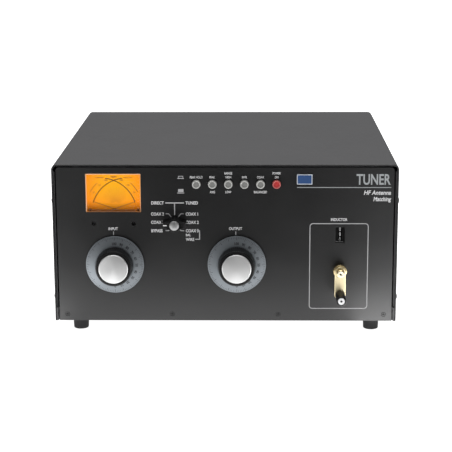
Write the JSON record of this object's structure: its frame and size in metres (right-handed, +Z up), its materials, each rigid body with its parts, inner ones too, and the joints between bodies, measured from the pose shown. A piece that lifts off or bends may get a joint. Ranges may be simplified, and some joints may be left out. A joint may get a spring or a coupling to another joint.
{
  "type": "antenna tuner",
  "caption": "Manual antenna tuner in a wide steel case: cross-needle meter, push buttons, rotary antenna selector, two reduction-drive tuning dials, roller-inductor crank and turns counter.",
  "frame": {"origin": "middle of the overall box at the bottom of the feet", "axes": "+X to the right seen from the front, +Y from the front panel to the rear, +Z up; the front panel faces -Y"},
  "size_m": [0.417, 0.473, 0.2096],
  "materials": {
    "panel_paint": "satin, fine texture",
    "cover_paint": "satin, fine texture",
    "zinc_sheet": "satin",
    "foot_rubber": "matte",
    "screw_steel": "satin",
    "black_plastic": "satin",
    "needle_paint": "matte",
    "meter_dial": "lit from behind",
    "window_glass": "clear",
    "dial_silver": "satin anodised",
    "cap_aluminium": "turned",
    "plate_aluminium": "satin",
    "ceramic": "glazed",
    "grey_plastic": "satin",
    "red_plastic": "satin",
    "circuit_board": "satin",
    "brass": "machined",
    "silver_wire": "satin",
    "connector_plate": "satin nickel",
    "ferrite": "matte"
  },
  "bodies": {
    "case": {"front_panel": "panel_paint", "rear_panel": "panel_paint", "top_cover": "cover_paint", "bottom_chassis": "cover_paint", "counter_frame": "zinc_sheet", "foot_front_left": "foot_rubber", "foot_front_right": "foot_rubber", "foot_rear_left": "foot_rubber", "foot_rear_right": "foot_rubber", "cover_screw_left": "screw_steel", "cover_screw_right": "screw_steel", "roller_rod": "screw_steel", "meter_housing": "black_plastic", "meter_face": "meter_dial", "meter_lens": "window_glass", "input_stator": "plate_aluminium", "output_stator": "plate_aluminium", "input_frame": "ceramic", "output_frame": "ceramic", "selector_wafer": "ceramic", "inductor_frame": "ceramic", "balanced_post_1": "ceramic", "balanced_post_2": "ceramic", "button_bank": "circuit_board", "input_ball_drive": "brass", "output_ball_drive": "brass", "ground_post": "brass", "rf_input_socket": "connector_plate", "coax_socket_1": "connector_plate", "coax_socket_2": "connector_plate", "coax_socket_3": "connector_plate", "balun": "ferrite"},
    "forward_pointer": {"forward_needle": "needle_paint"},
    "reflected_pointer": {"reflected_needle": "needle_paint"},
    "selector": {"selector_knob": "black_plastic", "selector_rotor": "screw_steel"},
    "input_tuning": {"input_dial": "dial_silver", "input_rotor": "plate_aluminium"},
    "input_drive": {"input_knob": "black_plastic", "input_knob_cap": "cap_aluminium"},
    "output_tuning": {"output_dial": "dial_silver", "output_rotor": "plate_aluminium"},
    "output_drive": {"output_knob": "black_plastic", "output_knob_cap": "cap_aluminium"},
    "crank": {"crank_hub": "brass", "crank_arm": "brass", "inductor_form": "ceramic", "inductor_coil": "silver_wire"},
    "handle": {"crank_handle": "black_plastic"},
    "contact": {"roller_wheel": "brass"},
    "counter_units": {"counter_shaft": "brass", "units_wheel": "black_plastic"},
    "counter_tens": {"tens_wheel": "black_plastic"},
    "counter_hundreds": {"hundreds_wheel": "black_plastic"},
    "hold": {"hold_button": "grey_plastic"},
    "average": {"average_button": "grey_plastic"},
    "range": {"range_button": "grey_plastic"},
    "scale": {"scale_button": "grey_plastic"},
    "balanced": {"balanced_button": "grey_plastic"},
    "power": {"power_button": "red_plastic"}
  },
  "joints": [
    {"name": "selector_turn", "type": "hinge", "parent": "case", "child": "selector", "pos_m": [-0.06, -0.1935, 0.1384], "axis": [0, -1, 0], "range_deg": [-240, 60]},
    {"name": "input_dial_turn", "type": "hinge", "parent": "case", "child": "input_tuning", "pos_m": [-0.1325, -0.1935, 0.0877], "axis": [0, -1, 0], "range_deg": [0, 180]},
    {"name": "input_knob_turn", "type": "hinge", "parent": "case", "child": "input_drive", "pos_m": [-0.1325, -0.1935, 0.0877], "axis": [0, -1, 0], "range_deg": [0, 1080.5]},
    {"name": "output_dial_turn", "type": "hinge", "parent": "case", "child": "output_tuning", "pos_m": [0.0141, -0.1935, 0.088], "axis": [0, -1, 0], "range_deg": [0, 180]},
    {"name": "output_knob_turn", "type": "hinge", "parent": "case", "child": "output_drive", "pos_m": [0.0141, -0.1935, 0.088], "axis": [0, -1, 0], "range_deg": [0, 1080.5]},
    {"name": "hold_press", "type": "slide", "parent": "case", "child": "hold", "axis": [0, 1, 0], "range_m": [0, 0.003], "stiffness_N_per_m": 150, "springref_m": -0.003},
    {"name": "average_press", "type": "slide", "parent": "case", "child": "average", "axis": [0, 1, 0], "range_m": [0, 0.003], "stiffness_N_per_m": 150, "springref_m": -0.003},
    {"name": "range_press", "type": "slide", "parent": "case", "child": "range", "axis": [0, 1, 0], "range_m": [0, 0.003], "stiffness_N_per_m": 150, "springref_m": -0.003},
    {"name": "scale_press", "type": "slide", "parent": "case", "child": "scale", "axis": [0, 1, 0], "range_m": [0, 0.003], "stiffness_N_per_m": 150, "springref_m": -0.003},
    {"name": "balanced_press", "type": "slide", "parent": "case", "child": "balanced", "axis": [0, 1, 0], "range_m": [0, 0.003], "stiffness_N_per_m": 150, "springref_m": -0.003},
    {"name": "power_press", "type": "slide", "parent": "case", "child": "power", "axis": [0, 1, 0], "range_m": [0, 0.003], "stiffness_N_per_m": 150, "springref_m": -0.003},
    {"name": "crank_turn", "type": "hinge", "parent": "case", "child": "crank", "pos_m": [0.1378, -0.1935, 0.0813], "axis": [0, 1, 0], "range_deg": [0, 9360]},
    {"name": "handle_spin", "type": "hinge", "parent": "crank", "child": "handle", "pos_m": [0.1378, -0.1935, 0.0537], "axis": [0, 1, 0], "continuous": true},
    {"name": "contact_travel", "type": "slide", "parent": "case", "child": "contact", "axis": [0, 1, 0], "range_m": [0, 0.1041]},
    {"name": "units_turn", "type": "hinge", "parent": "case", "child": "counter_units", "pos_m": [0.1378, -0.1793, 0.1238], "axis": [0, 0, 1], "range_deg": [-9361, 0]},
    {"name": "tens_turn", "type": "hinge", "parent": "case", "child": "counter_tens", "pos_m": [0.1378, -0.1793, 0.1238], "axis": [0, 0, 1], "range_deg": [-936.5, 0]},
    {"name": "hundreds_turn", "type": "hinge", "parent": "case", "child": "counter_hundreds", "pos_m": [0.1378, -0.1793, 0.1238], "axis": [0, 0, 1], "range_deg": [-94, 0]},
    {"name": "forward_swing", "type": "hinge", "parent": "case", "child": "forward_pointer", "pos_m": [-0.1486, -0.1855, 0.14865], "axis": [0, -1, 0], "range_deg": [0, 61.5], "stiffness_Nm_per_rad": 0.00002, "springref_deg": -11.46},
    {"name": "reflected_swing", "type": "hinge", "parent": "case", "child": "reflected_pointer", "pos_m": [-0.1178, -0.1855, 0.14865], "axis": [0, 1, 0], "range_deg": [0, 61.5], "stiffness_Nm_per_rad": 0.00002, "springref_deg": -11.46}
  ],
  "couplings": [
    {"joint": "input_knob_turn", "follows": "input_dial_turn", "ratio": 6},
    {"joint": "output_knob_turn", "follows": "output_dial_turn", "ratio": 6},
    {"joint": "contact_travel", "follows": "crank_turn", "m_per_rad": 0.00063662},
    {"joint": "units_turn", "follows": "crank_turn", "ratio": -1},
    {"joint": "tens_turn", "follows": "crank_turn", "ratio": -0.1},
    {"joint": "hundreds_turn", "follows": "crank_turn", "ratio": -0.01}
  ]
}
